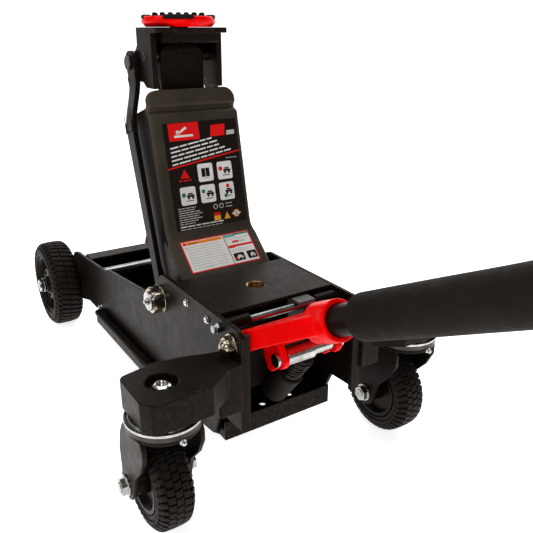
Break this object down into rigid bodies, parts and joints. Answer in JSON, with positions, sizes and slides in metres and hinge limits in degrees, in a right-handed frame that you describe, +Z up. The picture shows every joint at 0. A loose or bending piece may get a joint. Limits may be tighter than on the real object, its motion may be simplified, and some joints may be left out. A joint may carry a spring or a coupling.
{
  "type": "hydraulic floor jack",
  "caption": "Low box-frame hydraulic trolley jack with a parallelogram lift arm, round saddle, pump handle in a cast yoke, front wheels and swivel casters on outriggers.",
  "frame": {"origin": "on the floor under the middle of the jack's overall box", "axes": "+Z up, +Y from the handle towards the saddle and front wheels, +X to the right of someone at the handle"},
  "size_m": [0.399, 1.6661, 0.723],
  "materials": {
    "black_paint": "satin powder coat",
    "red_paint": "gloss enamel",
    "zinc": "bright zinc plate",
    "brass": "machined",
    "dark_casting": "painted casting",
    "dark_steel": "black oxide",
    "grey_steel": "plain",
    "wheel_core": "moulded",
    "tyre_rubber": "moulded",
    "foam": "closed-cell foam",
    "pad_rubber": "moulded"
  },
  "bodies": {
    "frame": {"side_plate_left": "black_paint", "side_plate_right": "black_paint", "skid_pan": "black_paint", "pan_rim_left": "black_paint", "pan_rim_right": "black_paint", "front_cross_bar": "black_paint", "front_tie_rod": "zinc", "top_cover": "black_paint", "cover_bush": "brass", "frame_bolts": "zinc", "caster_arm_left": "black_paint", "caster_arm_right": "black_paint", "caster_kingpins": "zinc", "caster_upper_rings": "zinc", "arm_pivot_shaft": "zinc", "arm_pivot_nuts": "zinc", "rear_cross_rod": "zinc", "cross_rod_sleeves": "dark_steel", "front_axle": "zinc", "axle_nuts": "zinc", "pump_block": "dark_casting", "hydraulic_cylinder": "dark_casting", "valve_bracket": "grey_steel", "yoke_pivot_bolts": "zinc", "link_foot_pins": "dark_steel", "return_springs": "zinc", "plunger_spring": "zinc"},
    "arm_body": {"lift_arm": "black_paint", "arm_back_plate": "black_paint", "carrier_pin": "dark_steel"},
    "left_link": {"link_left": "black_paint"},
    "right_link": {"link_right": "black_paint"},
    "carrier_body": {"saddle_carrier": "black_paint", "link_head_pins": "dark_steel"},
    "saddle_body": {"saddle_ring": "red_paint", "saddle_pad": "pad_rubber"},
    "ram_body": {"ram_rod": "zinc", "ram_crosshead": "dark_casting"},
    "yoke_body": {"handle_yoke": "red_paint", "yoke_roller": "zinc"},
    "handle_body": {"handle_tube": "black_paint", "foam_sleeve": "foam", "handle_grip": "pad_rubber"},
    "plunger_body": {"pump_plunger": "dark_steel"},
    "valve_body": {"release_valve": "zinc"},
    "left_front_wheel": {"front_hub_left": "wheel_core", "front_tyre_left": "tyre_rubber"},
    "right_front_wheel": {"front_hub_right": "wheel_core", "front_tyre_right": "tyre_rubber"},
    "left_caster": {"caster_fork_left": "black_paint", "caster_ring_left": "zinc", "caster_axle_left": "zinc"},
    "right_caster": {"caster_fork_right": "black_paint", "caster_ring_right": "zinc", "caster_axle_right": "zinc"},
    "left_caster_wheel": {"caster_hub_left": "wheel_core", "caster_tyre_left": "tyre_rubber"},
    "right_caster_wheel": {"caster_hub_right": "wheel_core", "caster_tyre_right": "tyre_rubber"}
  },
  "joints": [
    {"name": "arm_lift", "type": "hinge", "parent": "frame", "child": "arm_body", "pos_m": [0, 0.366, 0.181], "axis": [1, 0, 0], "range_deg": [-75, 0]},
    {"name": "left_link_turn", "type": "hinge", "parent": "frame", "child": "left_link", "pos_m": [-0.066, 0.393, 0.173], "axis": [1, 0, 0], "range_deg": [-75, 0]},
    {"name": "right_link_turn", "type": "hinge", "parent": "frame", "child": "right_link", "pos_m": [0.066, 0.393, 0.173], "axis": [1, 0, 0], "range_deg": [-75, 0]},
    {"name": "carrier_level", "type": "hinge", "parent": "arm_body", "child": "carrier_body", "pos_m": [0, 0.45092, 0.45703], "axis": [1, 0, 0], "range_deg": [0, 75]},
    {"name": "saddle_spin", "type": "hinge", "parent": "carrier_body", "child": "saddle_body", "pos_m": [0, 0.446, 0.488], "axis": [0, 0, 1], "continuous": true},
    {"name": "ram_slide", "type": "slide", "parent": "frame", "child": "ram_body", "axis": [0, 1, 0], "range_m": [-0.048, 0], "deforming": ["return_springs"]},
    {"name": "handle_pitch", "type": "hinge", "parent": "frame", "child": "yoke_body", "pos_m": [0, 0.195, 0.193], "axis": [1, 0, 0], "range_deg": [-48, 20]},
    {"name": "handle_twist", "type": "hinge", "parent": "yoke_body", "child": "handle_body", "pos_m": [0, 0.195, 0.193], "axis": [0, -0.8934, 0.4493], "range_deg": [0, 90]},
    {"name": "plunger_slide", "type": "slide", "parent": "frame", "child": "plunger_body", "axis": [0, 0.6159, -0.7878], "range_m": [-0.0225, 0.0095], "deforming": ["plunger_spring"]},
    {"name": "release_valve_turn", "type": "hinge", "parent": "frame", "child": "valve_body", "pos_m": [0.03, 0.238, 0.116], "axis": [0, -1, 0], "range_deg": [0, 90]},
    {"name": "left_front_wheel_spin", "type": "hinge", "parent": "frame", "child": "left_front_wheel", "pos_m": [-0.106, 0.761, 0.072], "axis": [1, 0, 0], "continuous": true},
    {"name": "right_front_wheel_spin", "type": "hinge", "parent": "frame", "child": "right_front_wheel", "pos_m": [0.106, 0.761, 0.072], "axis": [1, 0, 0], "continuous": true},
    {"name": "left_caster_swivel", "type": "hinge", "parent": "frame", "child": "left_caster", "pos_m": [-0.158, 0.188, 0.136], "axis": [0, 0, 1], "continuous": true},
    {"name": "right_caster_swivel", "type": "hinge", "parent": "frame", "child": "right_caster", "pos_m": [0.158, 0.188, 0.136], "axis": [0, 0, 1], "continuous": true},
    {"name": "left_caster_wheel_spin", "type": "hinge", "parent": "left_caster", "child": "left_caster_wheel", "pos_m": [-0.158, 0.217, 0.057], "axis": [1, 0, 0], "continuous": true},
    {"name": "right_caster_wheel_spin", "type": "hinge", "parent": "right_caster", "child": "right_caster_wheel", "pos_m": [0.158, 0.217, 0.057], "axis": [1, 0, 0], "continuous": true}
  ],
  "couplings": [
    {"joint": "left_link_turn", "follows": "arm_lift", "ratio": 1},
    {"joint": "right_link_turn", "follows": "arm_lift", "ratio": 1},
    {"joint": "carrier_level", "follows": "arm_lift", "ratio": -1},
    {"joint": "ram_slide", "follows": "arm_lift", "m_per_rad": 0.036364},
    {"joint": "plunger_slide", "follows": "handle_pitch", "m_per_rad": 0.0265},
    {"joint": "release_valve_turn", "follows": "handle_twist", "ratio": 1}
  ]
}
